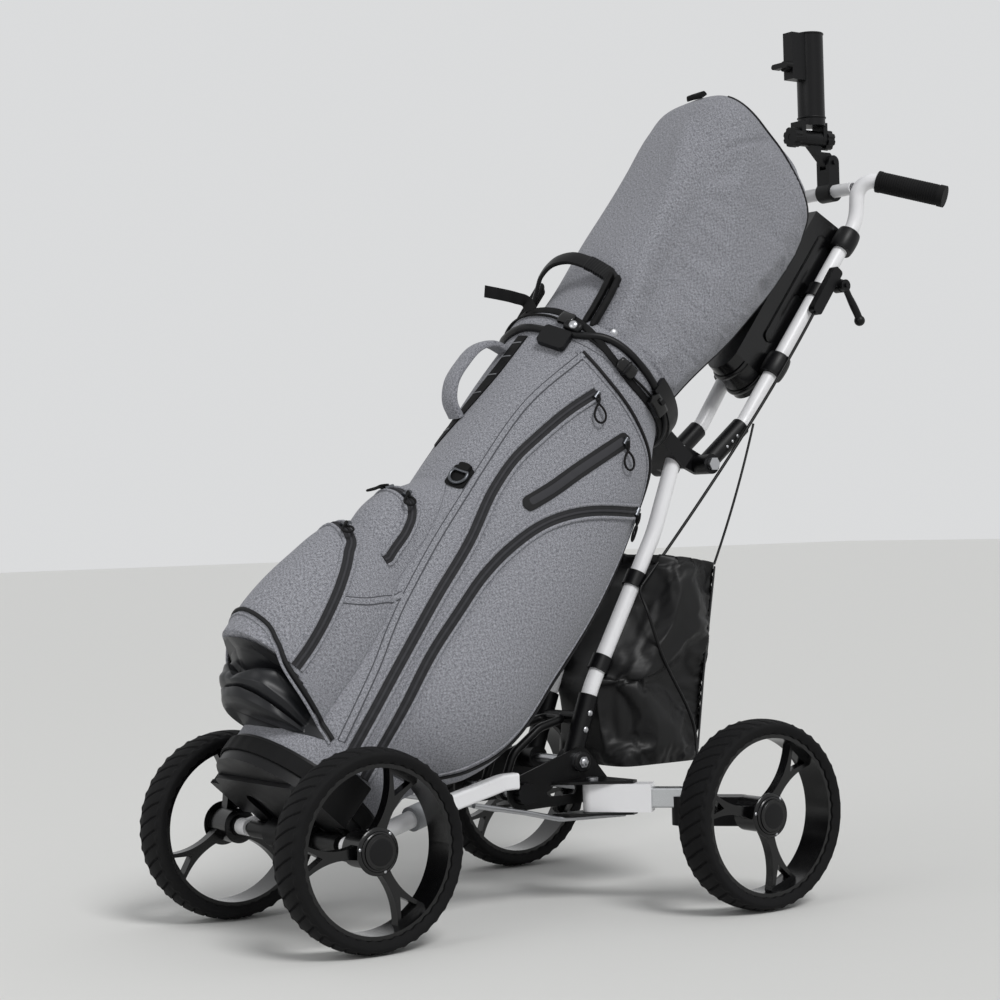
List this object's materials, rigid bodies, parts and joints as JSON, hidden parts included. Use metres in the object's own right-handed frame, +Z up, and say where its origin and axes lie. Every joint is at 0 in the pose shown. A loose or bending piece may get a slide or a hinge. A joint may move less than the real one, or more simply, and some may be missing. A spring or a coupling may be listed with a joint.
{
  "type": "golf bag on push cart",
  "caption": "Tapered fabric golf bag with pockets and a club hood, strapped on a folding push cart with spoked wheels, bent handle, console and umbrella holder.",
  "frame": {"origin": "on the ground, under the middle of the whole object's box", "axes": "+X to the cart's left, +Y to its rear where the grips are, +Z up"},
  "size_m": [0.684, 1.3107, 1.394],
  "materials": {
    "tyre": "matte foam rubber",
    "black_gloss": "gloss moulded",
    "white_paint": "gloss white powder coat",
    "steel": "zinc plated",
    "aluminium": "mill finish",
    "grey_collar": "satin grey",
    "black_plastic": "satin moulded",
    "black_metal": "satin black powder coat",
    "grip": "ribbed",
    "grey_fabric": "heather woven",
    "black_fabric": "nylon",
    "cable": "sheathed cable"
  },
  "bodies": {
    "base": {"chassis_side_plates": "black_metal", "chassis_rods": "steel", "chassis_gussets": "black_metal", "hub_knobs": "black_plastic", "pivot_bolts": "steel", "front_arms": "white_paint", "front_arm_collars": "grey_collar", "front_stubs": "white_paint", "front_axle": "black_metal", "lower_sleeves": "black_plastic", "uprights": "white_paint", "bag_cradle": "black_plastic", "upper_bracket": "black_plastic", "storage_bag": "black_fabric", "storage_bands": "black_plastic", "brake_cable_upper": "cable", "brake_cable_lower": "cable", "storage_cord": "cable"},
    "rear_arm_left": {"rear_arm_left": "white_paint", "rear_inner_tube_left": "aluminium", "rear_axle_block_left": "black_plastic"},
    "rear_arm_right": {"rear_arm_right": "white_paint", "rear_inner_tube_right": "aluminium", "rear_axle_block_right": "black_plastic"},
    "locking_bail": {"locking_bail": "black_metal"},
    "golf_bag": {"bag_shell": "grey_fabric", "bag_base": "black_plastic", "bag_cuff": "black_plastic", "club_divider": "black_fabric", "side_pocket_left": "grey_fabric", "side_pocket_right": "grey_fabric", "ball_pocket": "grey_fabric", "lower_pouch": "black_fabric", "front_pocket": "grey_fabric", "bag_straps": "black_fabric", "strap_buckle": "black_plastic", "cuff_handle": "black_plastic", "carry_handle": "grey_fabric"},
    "hood": {"hood": "grey_fabric"},
    "handle": {"upper_sleeves": "black_plastic", "handle_frame": "white_paint", "grips": "grip", "console": "black_gloss", "brake_bracket": "black_plastic", "umbrella_clamp": "black_plastic"},
    "brake_lever": {"brake_lever": "black_plastic"},
    "umbrella_arm": {"umbrella_arm": "black_plastic"},
    "umbrella_socket": {"umbrella_socket": "black_plastic"},
    "lean_knob_front": {"lean_knob_front": "black_plastic"},
    "lean_knob_rear": {"lean_knob_rear": "black_plastic"},
    "socket_knob": {"socket_knob": "black_plastic"},
    "front_left_wheel": {"front_left_tyre": "tyre", "front_left_rim": "black_gloss"},
    "front_right_wheel": {"front_right_tyre": "tyre", "front_right_rim": "black_gloss"},
    "rear_left_wheel": {"rear_left_tyre": "tyre", "rear_left_rim": "black_gloss"},
    "rear_right_wheel": {"rear_right_tyre": "tyre", "rear_right_rim": "black_gloss"}
  },
  "joints": [
    {"name": "front_left_roll", "type": "hinge", "parent": "base", "child": "front_left_wheel", "pos_m": [0.194, -0.51541, 0.14], "axis": [1, 0, 0], "continuous": true},
    {"name": "front_right_roll", "type": "hinge", "parent": "base", "child": "front_right_wheel", "pos_m": [-0.194, -0.51541, 0.14], "axis": [1, 0, 0], "continuous": true},
    {"name": "rear_left_roll", "type": "hinge", "parent": "rear_arm_left", "child": "rear_left_wheel", "pos_m": [0.311, 0.09059, 0.14], "axis": [1, 0, 0], "continuous": true},
    {"name": "rear_right_roll", "type": "hinge", "parent": "rear_arm_right", "child": "rear_right_wheel", "pos_m": [-0.311, 0.09059, 0.14], "axis": [1, 0, 0], "continuous": true},
    {"name": "rear_arm_left_fold", "type": "hinge", "parent": "base", "child": "rear_arm_left", "pos_m": [0.094, -0.05241, 0.161], "axis": [0, 0, 1], "range_deg": [0, 40], "deforming": ["brake_cable_lower"]},
    {"name": "rear_arm_right_fold", "type": "hinge", "parent": "base", "child": "rear_arm_right", "pos_m": [-0.094, -0.05241, 0.161], "axis": [0, 0, -1], "range_deg": [0, 40]},
    {"name": "locking_bail_swing", "type": "hinge", "parent": "base", "child": "locking_bail", "pos_m": [0, -0.16741, 0.175], "axis": [1, 0, 0], "range_deg": [0, 35]},
    {"name": "bag_lift", "type": "slide", "parent": "base", "child": "golf_bag", "axis": [0, -0.7431, 0.6691], "range_m": [0, 0.3]},
    {"name": "hood_lift", "type": "slide", "parent": "golf_bag", "child": "hood", "axis": [0, 0.5917, 0.8062], "range_m": [0, 0.05]},
    {"name": "handle_fold", "type": "hinge", "parent": "base", "child": "handle", "pos_m": [0, 0.22659, 0.663], "axis": [-1, 0, 0], "range_deg": [0, 110], "deforming": ["brake_cable_upper", "storage_cord"]},
    {"name": "brake_lever_pull", "type": "hinge", "parent": "handle", "child": "brake_lever", "pos_m": [0.08978, 0.50427, 0.9554], "axis": [-1, 0, 0], "range_deg": [0, 45]},
    {"name": "umbrella_tilt", "type": "hinge", "parent": "handle", "child": "umbrella_arm", "pos_m": [0, 0.56659, 1.176], "axis": [1, 0, 0], "range_deg": [-30, 20]},
    {"name": "umbrella_lean", "type": "hinge", "parent": "umbrella_arm", "child": "umbrella_socket", "pos_m": [0, 0.52559, 1.215], "axis": [0, 1, 0], "range_deg": [-45, 45]},
    {"name": "lean_knob_front_turn", "type": "hinge", "parent": "umbrella_arm", "child": "lean_knob_front", "pos_m": [0, 0.48959, 1.215], "axis": [0, 1, 0], "continuous": true},
    {"name": "lean_knob_rear_turn", "type": "hinge", "parent": "umbrella_arm", "child": "lean_knob_rear", "pos_m": [0, 0.56159, 1.215], "axis": [0, 1, 0], "continuous": true},
    {"name": "socket_knob_turn", "type": "hinge", "parent": "umbrella_socket", "child": "socket_knob", "pos_m": [0, 0.48159, 1.333], "axis": [0, 1, 0], "continuous": true}
  ],
  "couplings": [
    {"joint": "rear_arm_right_fold", "follows": "rear_arm_left_fold", "ratio": 1}
  ]
}
